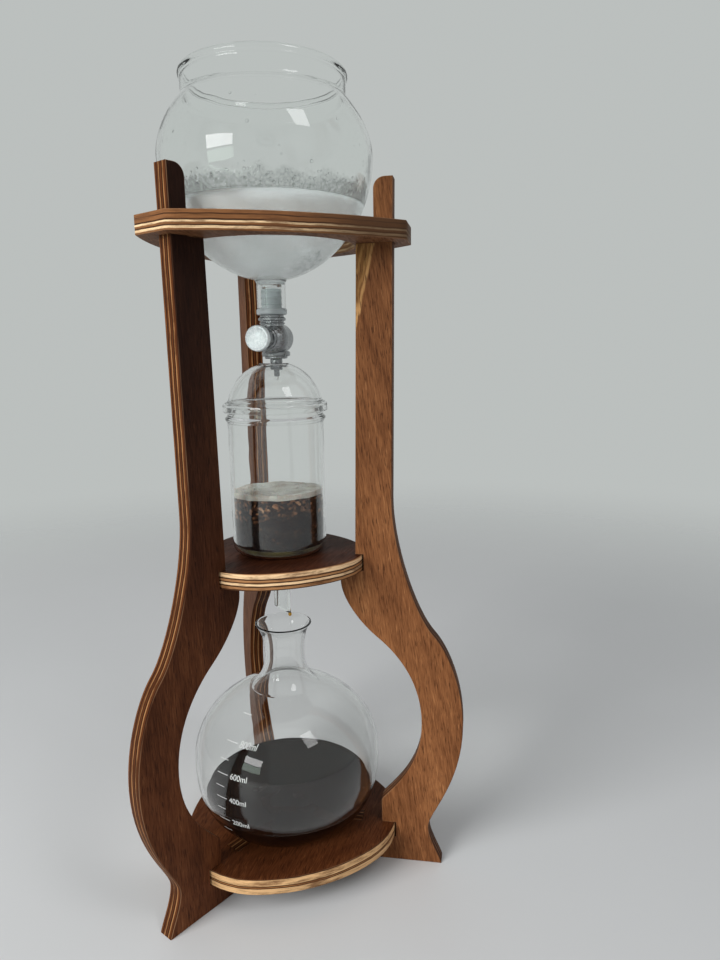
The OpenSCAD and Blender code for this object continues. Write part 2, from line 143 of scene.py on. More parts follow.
# ---- building pieces ----


def linked(name, data):
    """A new object in the scene."""
    made = bpy.data.objects.new(name, data)
    bpy.context.scene.collection.objects.link(made)
    return made


def mesh_of(name, curve):
    """The mesh that a curve or a text makes."""
    source = linked(name, curve)
    mesh = bpy.data.meshes.new_from_object(source.evaluated_get(bpy.context.evaluated_depsgraph_get()))
    bpy.data.objects.remove(source)
    return mesh


def finished(name, bm, material, body, node=None, place=AXIS, sharp=35):
    """Turns a bmesh into a smooth-shaded piece that rides on a body and may stand for a CAD node."""
    mesh = bpy.data.meshes.new(name)
    bm.to_mesh(mesh)
    bm.free()
    mesh.polygons.foreach_set("use_smooth", [True] * len(mesh.polygons))
    if sharp:
        mesh.set_sharp_from_angle(angle=math.radians(sharp))
    mesh.materials.append(material)
    piece = linked(name, mesh)
    piece.matrix_world = place
    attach(piece, body)
    if node:
        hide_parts(node)
    return piece


def turned(profile, segments, into=None, move=None):
    """A closed body of revolution about Z.

    A profile that starts and ends at radius 0 closes on the axis, and any other closes on itself.
    """
    bm = into or bmesh.new()
    made = []
    rings = []
    for r, h in profile:
        count = segments if r > 1e-6 else 1
        angles = [math.tau * i / count for i in range(count)]
        ring = [bm.verts.new((r * MM * math.cos(a), r * MM * math.sin(a), h * MM)) for a in angles]
        rings.append(ring)
        made += ring
    closing = [] if len(rings[0]) == 1 else [rings[0]]
    for low, high in zip(rings, rings[1:] + closing):
        for i in range(segments):
            j = i + 1
            corners = [low[i % len(low)], low[j % len(low)], high[j % len(high)], high[i % len(high)]]
            corners = list(dict.fromkeys(corners))
            if len(corners) > 2:
                bm.faces.new(corners)
    if move:
        bmesh.ops.transform(bm, matrix=move, verts=made)
    bmesh.ops.recalc_face_normals(bm, faces=bm.faces)
    return bm


def rod(bm, r, h1, h2, chamfer, move=None):
    """A round rod with chamfered ends, added to a bmesh."""
    profile = [(0, h1), (r - chamfer, h1), (r, h1 + chamfer), (r, h2 - chamfer), (r - chamfer, h2), (0, h2)]
    turned(profile, 64, into=bm, move=move)


def bead(bm, at, normal, r, flat):
    """A flattened drop sitting on a surface, added to a bmesh."""
    turn = normal.to_track_quat("Z", "Y").to_matrix().to_4x4()
    place = Matrix.Translation(at) @ turn @ Matrix.Diagonal((1, 1, flat, 1))
    bmesh.ops.create_icosphere(bm, subdivisions=2, radius=r, matrix=place)


def hanging_drop(name, profile, segments, material, body, place):
    """A small drop that hangs from a tip, rounded further when it is rendered."""
    drop = finished(name, turned(profile, segments), material, body, place=place, sharp=80)
    drop.modifiers.new("round", "SUBSURF").render_levels = 2


def plywood_piece(name, outlines, material, place):
    """Cut plywood with softly broken edges: the first outline is its edge, and the others are holes."""
    curve = bpy.data.curves.new(name, "CURVE")
    curve.dimensions = "2D"
    curve.fill_mode = "BOTH"
    curve.extrude = (PLY_T / 2 - EDGE_BREAK) * MM
    curve.bevel_depth = EDGE_BREAK * MM
    curve.offset = -EDGE_BREAK * MM
    curve.bevel_resolution = 1
    for outline in outlines:
        spline = curve.splines.new("POLY")
        spline.points.add(len(outline) - 1)
        spline.use_cyclic_u = True
        for point, (x, y) in zip(spline.points, outline):
            point.co = (x * MM, y * MM, 0, 1)
    bm = bmesh.new()
    bm.from_mesh(mesh_of(name + "_outline", curve))
    bmesh.ops.remove_doubles(bm, verts=bm.verts, dist=2e-6)
    bmesh.ops.recalc_face_normals(bm, faces=bm.faces)
    bm.normal_update()
    for edge in bm.edges:
        flat = [abs(face.normal.z) > 0.999 for face in edge.link_faces]
        edge.smooth = len(flat) == 2 and (all(flat) or (not any(flat) and edge.calc_face_angle() < 0.8))
    finished(name, bm, material, "stand", name, place, sharp=0)


# ---- materials ----


class Shader:
    """A material's node tree around its Principled node, with short calls that add and wire nodes."""

    def __init__(self, name, **values):
        self.material = bpy.data.materials.new(name)
        self.material.use_nodes = True
        self.tree = self.material.node_tree
        self.surface = self.tree.nodes["Principled BSDF"]
        self.output = self.tree.nodes["Material Output"]
        for socket, value in values.items():
            self.surface.inputs[socket.replace("_", " ")].default_value = value
        self.place = self.add("TexCoord")
        self.at = self.place.outputs["Object"]

    def add(self, kind, **settings):
        node = self.tree.nodes.new("ShaderNode" + kind)
        for key, value in settings.items():
            setattr(node, key, value)
        return node

    def put(self, value, socket):
        """Links an output socket, or sets a plain number or colour."""
        if isinstance(value, bpy.types.NodeSocket):
            self.tree.links.new(value, socket)
        elif isinstance(value, tuple) and len(value) == 3 and len(socket.default_value) == 4:
            socket.default_value = (*value, 1)
        else:
            socket.default_value = value

    def fed(self, kind, **values):
        """A new node with sockets or plain values put into its inputs."""
        node = self.add(kind)
        for socket, value in values.items():
            self.put(value, node.inputs[socket])
        return node

    def paint(self, colour):
        self.put(colour, self.surface.inputs["Base Color"])

    def roughen(self, roughness):
        self.put(roughness, self.surface.inputs["Roughness"])

    def stretched(self, scale, turn=0.0, shift=(0, 0, 0)):
        """Object coordinates, turned about Z in degrees and then scaled per axis."""
        spun = self.fed("Mapping", Vector=self.at, Rotation=(0, 0, math.radians(turn)))
        node = self.fed("Mapping", Vector=spun.outputs["Vector"], Scale=scale, Location=shift)
        return node.outputs["Vector"]

    def split(self, output="Object"):
        """X, Y and Z of the object coordinates or of the normal."""
        node = self.add("SeparateXYZ")
        self.put(self.place.outputs[output], node.inputs[0])
        return node.outputs

    def noise(self, vector, scale=1.0, detail=4.0, roughness=0.55, distortion=0.0):
        shape = dict(Detail=detail, Roughness=roughness, Distortion=distortion)
        return self.fed("TexNoise", Vector=vector, Scale=scale, **shape).outputs["Fac"]

    def cells(self, vector, scale, output="Distance"):
        return self.fed("TexVoronoi", Vector=vector, Scale=scale).outputs[output]

    def length(self, vector):
        node = self.add("VectorMath", operation="LENGTH")
        self.put(vector, node.inputs[0])
        return node.outputs["Value"]

    def maths(self, operation, a, b=0.0):
        node = self.add("Math", operation=operation)
        self.put(a, node.inputs[0])
        self.put(b, node.inputs[1])
        return node.outputs[0]

    def plus(self, a, b):
        return self.maths("ADD", a, b)

    def minus(self, a, b):
        return self.maths("SUBTRACT", a, b)

    def times(self, a, b):
        return self.maths("MULTIPLY", a, b)

    def between(self, value, low, high, out_low=0.0, out_high=1.0):
        """The value's place between low and high, smoothly clamped."""
        node = self.add("MapRange", interpolation_type="SMOOTHSTEP")
        for socket, v in zip(node.inputs, (value, low, high, out_low, out_high)):
            self.put(v, socket)
        return node.outputs["Result"]

    def ramp(self, value, stops):
        node = self.add("ValToRGB")
        self.put(value, node.inputs["Fac"])
        elements = node.color_ramp.elements
        while len(elements) < len(stops):
            elements.new(0.5)
        for element, (position, colour) in zip(elements, stops):
            element.position = position
            element.color = (*colour, 1)
        return node.outputs["Color"]

    def mix(self, factor, a, b, blend="MIX"):
        node = self.add("Mix", data_type="RGBA", blend_type=blend)
        self.put(factor, node.inputs["Factor"])
        self.put(a, node.inputs[6])
        self.put(b, node.inputs[7])
        return node.outputs[2]

    def relief(self, height, distance, strength=1.0):
        """Bump of the given height in metres."""
        node = self.fed("Bump", Height=height, Strength=strength, Distance=distance)
        self.put(node.outputs["Normal"], self.surface.inputs["Normal"])

    def fade_out(self, factor, tint=(1, 1, 1)):
        """Turns the surface into tinted clear air by the factor."""
        clear = self.add("BsdfTransparent")
        self.put(tint, clear.inputs["Color"])
        mixed = self.add("MixShader")
        self.put(factor, mixed.inputs[0])
        self.put(self.surface.outputs[0], mixed.inputs[1])
        self.put(clear.outputs[0], mixed.inputs[2])
        self.put(mixed.outputs[0], self.output.inputs["Surface"])

    def clear_to_lamps(self, tint):
        """Lets light from the lamps straight through, so that what is inside the glass is lit."""
        self.fade_out(self.add("LightPath").outputs["Is Shadow Ray"], tint)


# The colours of plywood's plies along a cut edge
CREAM, TAN = (0.72, 0.50, 0.30), (0.34, 0.17, 0.075)
BROWN, BURNT = (0.19, 0.080, 0.032), (0.035, 0.014, 0.007)


def layup(*bands):
    """Plies as ramp stops, each band given as the share of the sheet where it ends and its colour."""
    stops = []
    start = 0.0
    for end, colour in bands:
        stops += [(start, colour), (end - 0.025, colour)]
        start = end
    return stops


LEG_PLIES = layup(
    (0.10, BURNT), (0.26, BROWN), (0.34, CREAM), (0.42, BURNT), (0.54, BROWN),
    (0.60, BURNT), (0.68, CREAM), (0.80, BROWN), (0.88, BURNT), (1.0, TAN),
)
RING_PLIES = layup(
    (0.11, BROWN), (0.23, CREAM), (0.30, BURNT), (0.40, BROWN), (0.49, CREAM),
    (0.57, BURNT), (0.76, BROWN), (0.82, BURNT), (1.0, BROWN),
)
SHELF_PLIES = layup(
    (0.08, BURNT), (0.22, TAN), (0.30, BURNT), (0.44, CREAM), (0.51, BURNT),
    (0.63, TAN), (0.71, BURNT), (0.96, CREAM), (1.0, TAN),
)
BASE_PLIES = layup((0.38, CREAM), (0.44, BURNT), (0.50, TAN), (0.56, BURNT), (0.95, CREAM), (1.0, BURNT))


def heartwood(s, face, x, y, waver):
    """A golden streak with swirling lines that tapers down the leg's inner side from under the ring."""
    reach = s.minus(s.minus(x, 0.0565), s.times(s.minus(y, 0.3735), 0.235))
    reach = s.plus(reach, s.times(s.minus(waver, 0.5), 0.004))
    swirl = s.maths("SINE", s.times(s.plus(reach, s.times(waver, 0.008)), 1700.0))
    gold = s.mix(s.between(swirl, -0.4, 1.0), (0.17, 0.095, 0.045), (0.27, 0.17, 0.085))
    gold = s.mix(s.between(reach, -0.0022, -0.0012), gold, (0.42, 0.28, 0.16))
    gold = s.mix(s.between(y, 0.389, 0.381), gold, (0.50, 0.34, 0.20))
    ring = SHOULDER_H * MM
    below = s.between(y, ring - 0.0003, ring + 0.0002, 1.0, 0.0)
    inside = s.times(s.between(reach, -0.0006, 0.0006, 1.0, 0.0), below)
    return s.mix(inside, face, gold)


def plywood_material(
    name, stain_and_shade, edge_stain, grain_turn, seed, plies, shade_fade=(1.0, 1.0), streak=False, edge_shade=0.0
):
    """Stained plywood: open brown grain on the faces and bare, scorched plies along the cut edges.

    Its sheets lie across local Z. The faces' tone goes from shade_fade[0] to shade_fade[1] along local Y as
    painted shade, and the edges' tone darkens by the share edge_shade along local X as painted shade on the
    side away from the lamps.
    """
    s = Shader(name, Specular_IOR_Level=0.1)
    shift = (seed * 1.7, seed * 2.3, seed)
    x, y, z = s.split()
    # Faces: soft bands, short fibres, dark pores and pale flecks, all drawn out along the grain.
    bands = s.noise(s.stretched((75, 8, 75), grain_turn, shift), 1.0, 3, 0.5, 0.7)
    fibres = s.noise(s.stretched((1250, 75, 400), grain_turn * 0.5, shift), 1.0, 4, 0.65)
    pores = s.noise(s.stretched((1500, 130, 500), grain_turn * 0.3, shift), 1.0, 2, 0.5)
    flecks = s.noise(s.stretched((900, 90, 400), grain_turn * 0.3, (seed, seed, seed)), 1.0, 2, 0.5)
    blotches = s.noise(s.stretched((26, 11, 26), grain_turn, shift), 1.0, 4, 0.6)
    tone = s.plus(s.times(bands, 0.34), s.times(fibres, 0.54))
    tone = s.plus(tone, s.times(blotches, 0.27))
    browns = [(0.40, (0.070, 0.030, 0.016)), (0.54, (0.140, 0.066, 0.036))]
    browns += [(0.66, (0.215, 0.108, 0.060)), (0.80, (0.36, 0.21, 0.125))]
    face = s.ramp(tone, browns)
    if streak:
        face = heartwood(s, face, x, y, bands)
    face = s.mix(s.between(pores, 0.56, 0.70, 0.0, 0.7), face, (0.030, 0.012, 0.007))
    face = s.mix(s.between(flecks, 0.64, 0.76, 0.0, 0.45), face, (0.40, 0.23, 0.14))
    face = s.mix(1.0, face, stain_and_shade, "MULTIPLY")
    # Painted shade: the faces darken along local Y between the two values given for it.
    painted_shade = s.between(y, 0.06, 0.40, shade_fade[0], shade_fade[1])
    face = s.mix(s.minus(1.0, painted_shade), face, (0.006, 0.003, 0.003))
    # Edges: plies by the place across the sheet, wavering a little, with scorched stretches.
    waver = s.noise(s.stretched((30, 30, 0), 0, shift), 1.0, 3, 0.6)
    across = s.plus(s.maths("DIVIDE", z, PLY_T * MM), 0.5)
    across = s.plus(across, s.times(s.minus(waver, 0.5), 0.16))
    edge = s.ramp(across, plies)
    scorch = s.noise(s.stretched((45, 45, 220), 0, shift), 1.0, 5, 0.7)
    edge = s.mix(s.between(scorch, 0.44, 0.68, 0.0, 0.8), edge, (0.12, 0.050, 0.022))
    streaks = s.noise(s.stretched((60, 60, 2400), 0, shift), 1.0, 4, 0.6)
    edge = s.mix(s.between(streaks, 0.48, 0.70, 0.0, 0.6), edge, BURNT)
    edge = s.mix(1.0, edge, edge_stain, "MULTIPLY")
    # Painted shade: the edges darken towards local +X, the side away from the lamps.
    edge = s.mix(s.between(x, -0.02, 0.045, 0.0, edge_shade), edge, (0.075, 0.036, 0.018))
    facing = s.maths("ABSOLUTE", s.split("Normal")[2])
    colour = s.mix(s.between(facing, 0.55, 0.85), edge, face)
    # The broken edges are a little lighter, partly from wear and partly as a painted highlight where they
    # catch the light.
    wear_and_highlight = s.times(s.between(facing, 0.20, 0.45), s.between(facing, 0.88, 0.97, 0.6, 0.0))
    wear_and_highlight = s.times(wear_and_highlight, s.between(blotches, 0.35, 0.65))
    s.paint(s.mix(wear_and_highlight, colour, (0.30, 0.16, 0.085)))
    s.roughen(s.between(fibres, 0.3, 0.75, 0.66, 0.50))
    height = s.plus(s.times(fibres, 0.6), s.times(pores, -0.5))
    s.relief(height, 0.00016, 0.8)
    return s.material


def clear_material(name, tint, ior, ripple, ripple_scale):
    """Clear glass or water with a faint waviness."""
    s = Shader(name, Roughness=0.0, IOR=ior, Transmission_Weight=1.0, Base_Color=(*tint, 1))
    s.relief(s.noise(s.at, ripple_scale, 2), ripple)
    s.clear_to_lamps(tint)
    return s.material


def metal_material(name, colour, roughness, grit, grit_scale):
    """Plated or turned metal, with relief of a given depth in metres."""
    s = Shader(name, Metallic=1.0)
    cloud = s.noise(s.at, 260, 5)
    s.paint(s.mix(cloud, colour, tuple(0.72 * c for c in colour)))
    s.roughen(s.between(cloud, 0.3, 0.8, roughness, roughness * 2.2))
    s.relief(s.noise(s.at, grit_scale, 2), grit)
    return s.material


def misted_glass():
    """The bulb's glass, misted over up to the cold water's level, with a ragged beaded band just above."""
    s = Shader("bulb_glass", IOR=1.47)
    level = WATER_LEVEL * MM
    height = s.split()[2]
    cloud = s.noise(s.at, 55, 5, 0.6)
    beads = s.noise(s.at, 650, 3, 0.7)
    ragged = s.plus(height, s.times(s.minus(cloud, 0.5), 0.022))
    over = s.between(height, level - 0.0005, level + 0.0001)
    band = s.times(over, s.between(ragged, level + 0.0040, level + 0.0095, 1.0, 0.0))
    # Painted shade: the band's glass is greyed where the drops would show darker things through them.
    dark = s.times(band, s.between(beads, 0.40, 0.60, 1.0, 0.25))
    under = s.between(height, level - 0.0040, level - 0.0003, 1.0, 0.0)
    wet_look = s.mix(under, (0.975, 0.988, 0.980), (0.89, 0.90, 0.90))
    s.paint(s.mix(dark, wet_look, (0.60, 0.62, 0.61)))
    wet = s.times(under, s.between(height, 0.398, 0.406))
    mist = s.times(wet, s.between(cloud, 0.30, 0.62, 0.55, 1.0))
    clouded = s.times(mist, 0.24)
    s.roughen(clouded)
    s.put(s.minus(1.0, clouded), s.surface.inputs["Transmission Weight"])
    dew = s.times(s.between(s.cells(s.at, 620), 0.05, 0.35, 1.0, 0.0), mist)
    dew = s.plus(s.times(dew, 0.15), s.times(s.times(beads, band), 0.9))
    s.relief(s.plus(dew, s.noise(s.at, 22, 2)), 0.0006)
    s.clear_to_lamps((0.965, 0.992, 0.988))
    return s.material


BULB_GLASS = misted_glass()
FLASK_GLASS = clear_material("flask_glass", (0.985, 0.992, 0.985), 1.47, 0.0004, 26)
CHAMBER_GLASS = clear_material("chamber_glass", (0.985, 0.992, 0.988), 1.47, 0.0004, 34)
WATER = clear_material("clear_water", (0.985, 0.995, 0.995), 1.333, 0.0002, 60)
CHROME = metal_material("chrome", (0.34, 0.35, 0.36), 0.09, 0.0005, 800)
STEEL = metal_material("steel", (0.42, 0.44, 0.46), 0.22, 0.00005, 1500)


def silicone_material():
    s = Shader("silicone", IOR=1.41, Transmission_Weight=0.45, Roughness=0.28)
    cloud = s.noise(s.at, 180, 3)
    s.paint(s.mix(cloud, (0.50, 0.54, 0.55), (0.70, 0.74, 0.75)))
    s.relief(cloud, 0.0001)
    s.clear_to_lamps((0.7, 0.74, 0.75))
    return s.material


def knob_material():
    """Bright turned face: fine rings round the knob's own axis."""
    s = Shader("turned_knob", Metallic=0.6)
    rings = s.maths("SINE", s.times(s.length(s.stretched((1, 1, 0))), 30000.0))
    scuffs = s.noise(s.at, 700, 5, 0.7)
    s.paint(s.mix(s.between(scuffs, 0.42, 0.62), (0.70, 0.76, 0.77), (0.93, 0.97, 0.98)))
    s.roughen(s.between(scuffs, 0.35, 0.75, 0.30, 0.50))
    s.relief(s.plus(s.times(rings, 0.3), scuffs), 0.00003)
    return s.material


def rubber_material():
    s = Shader("black_rubber", Base_Color=(0.02, 0.02, 0.022, 1))
    s.roughen(s.between(s.noise(s.at, 900, 4), 0.3, 0.7, 0.5, 0.8))
    return s.material


def coffee_material():
    s = Shader("black_coffee", IOR=1.345, Specular_IOR_Level=0.08)
    swirl = s.noise(s.at, 38, 4, 0.5, 1.2)
    s.paint(s.ramp(swirl, [(0.35, (0.0035, 0.0018, 0.0014)), (0.75, (0.010, 0.0042, 0.0026))]))
    s.roughen(s.between(swirl, 0.3, 0.8, 0.015, 0.05))
    return s.material


def grounds_material():
    """Wet coarse grounds: near black below, with brown and amber granules in the top centimetre or so."""
    s = Shader("wet_grounds", Specular_IOR_Level=0.12)
    shade = s.add("SeparateColor")
    s.put(s.cells(s.at, 620, "Color"), shade.inputs[0])
    patches = s.noise(s.at, 95, 3)
    pick = s.plus(s.times(shade.outputs[0], 0.66), s.times(patches, 0.42))
    wavy = s.plus(s.split()[2], s.times(s.minus(patches, 0.5), 0.016))
    pick = s.minus(pick, s.between(wavy, 0.247, 0.257, 0.24, 0.0))
    tints = [(0.34, (0.004, 0.002, 0.002)), (0.58, (0.016, 0.007, 0.004)), (0.72, (0.070, 0.028, 0.013))]
    tints += [(0.84, (0.19, 0.085, 0.040)), (0.95, (0.40, 0.26, 0.15))]
    s.paint(s.ramp(pick, tints))
    s.roughen(s.between(shade.outputs[1], 0.2, 0.8, 0.5, 0.8))
    s.relief(s.minus(1.0, s.cells(s.at, 620)), 0.0002)
    return s.material


def foam_material():
    """Wet paper under a skin of fine foam bubbles."""
    s = Shader("wet_paper_foam", Subsurface_Weight=0.2)
    bubbles = s.cells(s.at, 780)
    stains = s.noise(s.at, 85, 5, 0.6)
    tints = [(0.34, (0.27, 0.23, 0.19)), (0.52, (0.40, 0.38, 0.34)), (0.72, (0.54, 0.53, 0.49))]
    colour = s.ramp(stains, tints)
    s.paint(s.mix(s.between(bubbles, 0.05, 0.45, 0.35, 0.0), colour, (0.36, 0.31, 0.26)))
    s.roughen(s.between(bubbles, 0.1, 0.6, 0.2, 0.6))
    s.relief(s.minus(1.0, bubbles), 0.0005)
    return s.material


def felt_material():
    """Filter felt soaked yellow brown, with a fibrous nap."""
    s = Shader("soaked_felt", Sheen_Weight=0.15)
    soak = s.noise(s.at, 70, 5, 0.6)
    nap = s.noise(s.stretched((1500, 1500, 500)), 1.0, 4, 0.7)
    tints = [(0.38, (0.018, 0.012, 0.005)), (0.56, (0.085, 0.070, 0.020)), (0.74, (0.22, 0.19, 0.07))]
    colour = s.ramp(soak, tints)
    s.paint(s.mix(s.between(nap, 0.35, 0.7, 0.4, 0.0), colour, (0.05, 0.035, 0.01)))
    s.roughen(s.between(nap, 0.3, 0.7, 0.45, 0.75))
    s.relief(nap, 0.0004)
    return s.material


def enamel_material():
    s = Shader("white_enamel")
    worn = s.noise(s.at, 900, 4, 0.7)
    s.paint(s.mix(s.between(worn, 0.5, 0.75), (0.86, 0.87, 0.86), (0.6, 0.62, 0.62)))
    s.roughen(s.between(worn, 0.3, 0.7, 0.4, 0.6))
    return s.material


def amber_material():
    s = Shader("amber_drop", Roughness=0.0, IOR=1.34, Transmission_Weight=1.0)
    swirl = s.noise(s.at, 500, 2)
    s.paint(s.mix(swirl, (0.55, 0.22, 0.02), (0.85, 0.50, 0.06)))
    s.clear_to_lamps((0.9, 0.7, 0.4))
    return s.material


# ---- plywood stand ----


def leg_outline():
    """The bowed leg seen from its side: x is the distance from the tower's axis, y the height."""
    hip, brow, belly, waist = (105, 168.9), (67, 166.3), (124.6, 105.5), (101.2, 28)
    inner_belly, lip_corner = (96.6, 105.3), (69.2, 47)
    outer = [(79.4, LEG_H), (77.2, 262)]
    outer += bow((77.2, 262), (76.8, 231.6), (91.5, 184.1), hip)
    outer += bow(hip, (114.4, 158.4), (belly[0], 133.1), belly)
    outer += bow(belly, (belly[0], 62.4), (waist[0], 37.9), waist)
    outer += bow(waist, (waist[0], 18), (108, 8), (110.5, 0))
    near, far = FOOT_TENON_R
    foot = [(37, 0), (37, FOOT_LIP_H), (near, FOOT_LIP_H), (near, BASE_TOP), (far, BASE_TOP)]
    foot += [(far, FOOT_LIP_H), (BASE_NOTCH_R, FOOT_LIP_H), (BASE_NOTCH_R, BASE_TOP + SLACK)]
    foot += [(68.5, BASE_TOP + SLACK), (68.5, 45.5)]
    inner = [(42.4, 206)]
    inner += bow((42.4, 206), (42.4, 193.5), (54.7, 176.4), brow)
    inner += bow(brow, (82.3, 153.7), (inner_belly[0], 134), inner_belly)
    inner += bow(inner_belly, (inner_belly[0], 75.6), (79.7, 58.6), (70.2, 48.1))
    post = [(42.4, SHELF_LIP_H), (SHELF_NOTCH_R, SHELF_LIP_H), (SHELF_NOTCH_R, SHELF_TOP + SLACK)]
    post += [(52.6, SHELF_TOP + SLACK), (56.3, SHOULDER_H), (TENON_R[0], SHOULDER_H)]
    top = arc((TENON_R[0] + 7, LEG_H - 7), 7, 180, 90, 8)
    return outer + foot + [lip_corner] + inner[::-1] + post + top


def upright_sheet(azimuth):
    """Places a sheet's local X away from the axis, Y up and Z across the sheet."""
    c, s = polar(1, azimuth)
    return AXIS @ Matrix(((c, 0, s, 0), (s, 0, -c, 0), (0, 1, 0, 0), (0, 0, 0, 1)))


def turned_points(points, degrees):
    c, s = polar(1, degrees)
    return [(c * x - s * y, s * x + c * y) for x, y in points]


def bowed_triangle(mid_r, edge_r, end_r):
    """Bowed long edges between flat ends at distance end_r behind each leg."""
    back = edge_r - mid_r
    # The end's plane meets the long edge's circle where cos(turn - 60) * edge_r - back / 2 = end_r.
    turn = 60 - math.degrees(math.acos((end_r + back / 2) / edge_r))
    outline = []
    for middle in (270, 30, 150):
        outline += arc(polar(-back, middle), edge_r, middle - turn, middle + turn, 24)
    return outline


def round_triangle(mid_r, edge_r, corner_r):
    """Bowed long edges that run smoothly into round corners behind each leg."""
    back, inset = edge_r - mid_r, edge_r - corner_r
    centre_r = (back * back - inset * inset) / (2 * inset - back)
    turn = math.degrees(math.atan2(centre_r * math.sin(math.pi / 3), centre_r * 0.5 + back))
    outline = []
    for azimuth in (210, 330, 90):
        corner, middle = polar(centre_r, azimuth), polar(-back, azimuth + 60)
        outline += arc(corner, corner_r - centre_r, azimuth + turn - 60, azimuth + 60 - turn, 12)
        outline += arc(middle, edge_r, azimuth + 60 - turn, azimuth + 60 + turn, 28)[1:-1]
    return outline


def slots(r1, r2):
    """Mortises for the three legs' tenons."""
    half = PLY_T / 2 + SLACK
    corners = [(r1 - SLACK, -half), (r2 + SLACK, -half), (r2 + SLACK, half), (r1 - SLACK, half)]
    return [turned_points(corners, azimuth) for azimuth in LEG_AZIMUTHS.values()]


def flat_sheet(bottom):
    return AXIS @ Matrix.Translation((0, 0, (bottom + PLY_T / 2) * MM))


# Painted shade: the left leg's darker stain stands for the shade on its face turned from the lamps, and the
# two front legs' faces darken towards the top.
LEG_LOOKS = {
    "leg_left": dict(
        stain_and_shade=(0.72, 0.46, 0.30), edge_stain=(0.52, 0.36, 0.24), grain_turn=4, seed=4.0, shade_fade=(1.0, 0.15)
    ),
    "leg_right": dict(
        stain_and_shade=(1.32, 1.04, 0.70), edge_stain=(0.42, 0.28, 0.20), grain_turn=-16, seed=1.0,
        shade_fade=(1.0, 0.74), streak=True,
    ),
    "leg_rear": dict(stain_and_shade=(0.50, 0.38, 0.28), edge_stain=(0.44, 0.30, 0.20), grain_turn=2, seed=7.0),
}
for leg, look in LEG_LOOKS.items():
    wood = plywood_material(leg + "_wood", plies=LEG_PLIES, **look)
    plywood_piece(leg, [leg_outline()], wood, upright_sheet(LEG_AZIMUTHS[leg]))

ring_hole_r = BULB_R * super_r((BULB_EQ_H - RING_TOP) / BULB_LOW, BULB_LOW_N) + 0.3
ring_wood = plywood_material(
    "top_ring_wood", (0.90, 0.78, 0.62), (1.30, 1.32, 1.28), 62, 11.0, RING_PLIES, edge_shade=0.85
)
ring_outlines = [bowed_triangle(65.6, 261, 88.5), arc((0, 0), ring_hole_r, 0, 360, 120)[:-1]]
ring_outlines += slots(TENON_R[0], TENON_R[1] - SLACK)
plywood_piece("top_ring", ring_outlines, ring_wood, flat_sheet(SHOULDER_H))

# Painted shade: the shelf's dark stain is partly the shade of the chamber and the legs over it.
shelf_wood = plywood_material(
    "middle_shelf_wood", (0.30, 0.17, 0.12), (1.32, 1.28, 1.22), 84, 15.0, SHELF_PLIES
)
shelf_outlines = [round_triangle(51.6, 80, 57.2), arc((0, 0), 9, 0, 360, 48)[:-1]]
plywood_piece("middle_shelf", shelf_outlines, shelf_wood, flat_sheet(SHELF_LIP_H))

base_wood = plywood_material("base_plate_wood", (0.60, 0.37, 0.22), (1.1, 0.96, 0.78), 78, 19.0, BASE_PLIES)
base_outlines = [round_triangle(70, 110, 77.6)] + slots(*FOOT_TENON_R)
plywood_piece("base_plate", base_outlines, base_wood, flat_sheet(FOOT_LIP_H))

# ---- water bulb ----


def bulb_outline(w):
    """Outline from the stem up to the neck, drawn in by w for the inside."""
    foot = BULB_EQ_H - BULB_LOW
    joined = ((BULB_R - w) * super_r(BULB_LOW_LAST, BULB_LOW_N), BULB_EQ_H - (BULB_LOW - w) * BULB_LOW_LAST)
    outline = [(STEM_R - w, STEM_H)]
    stem_end, flare = (STEM_R - w, foot - 2), (STEM_R + 3 - w, foot + 0.5 + w / 2)
    outline += bow(stem_end, (STEM_R - w, foot + 1), flare, joined)
    outline += half_body(BULB_EQ_H, w - BULB_LOW, BULB_LOW_N, BULB_R - w, BULB_LOW_LAST)[::-1][1:]
    outline += half_body(BULB_EQ_H, BULB_HIGH - w, BULB_HIGH_N, BULB_R - w, BULB_HIGH_LAST)[1:]
    return outline


def water_bulb():
    neck, top = BULB_NECK_R, BULB_LIP_H
    outside = bulb_outline(0)
    shoulder = outside[-1]
    outside += bow(shoulder, (neck + 0.4, shoulder[1] + 0.8), (neck, top - 14.8), (neck, top - 13.6), 6)
    outside += bow((neck, top - 7), (neck, top - 6), (neck, top - 5.4), (neck + 0.5, top - 4.8), 6)
    outside += arc((BULB_LIP_R - 2.4, top - 2.5), 2.4, -50, 80, 10)
    bore = neck - BULB_WALL
    inside = bulb_outline(BULB_WALL)
    throat = inside[-1]
    inside += bow(throat, (bore + 0.5, throat[1] + 1.2), (bore, top - 15), (bore, top - 13.5), 6)
    inside += arc((bore + 1.4, top - 1.5), 1.4, 180, 100, 6)
    glass = turned(outside + inside[::-1], 160)
    finished("water_bulb", glass, BULB_GLASS, "bulb", "water_bulb", sharp=60)


def bulb_inner_r(height):
    """Inside radius of the bulb's body at a height."""
    share = (height - BULB_EQ_H) / ((BULB_HIGH if height > BULB_EQ_H else BULB_LOW) - BULB_WALL)
    return (BULB_R - BULB_WALL) * super_r(share, BULB_HIGH_N if height > BULB_EQ_H else BULB_LOW_N)


def meniscus(wall_r, level):
    """A liquid's surface from its climb at the wall to the axis."""
    curve = []
    for i in range(9):
        t = i / 8
        climb = CLIMB * (math.exp(-3 * t) - math.exp(-3)) / (1 - math.exp(-3))
        curve.append((wall_r - CLIMB_REACH * t, level + climb))
    return curve + [(wall_r * 0.5, level), (0, level)]


def water():
    """The water fills the glass without a gap, so that it meets the wall as real water does."""
    wet = [p for p in bulb_outline(BULB_WALL - SINK) if WATER_BOTTOM < p[1] < WATER_LEVEL]
    profile = [(0, WATER_BOTTOM), (STEM_BORE_R - 0.2, WATER_BOTTOM)] + wet[1:]
    profile += meniscus(bulb_inner_r(WATER_LEVEL + CLIMB) + SINK, WATER_LEVEL)
    finished("water", turned(profile, 160), WATER, "bulb", "water", sharp=60)


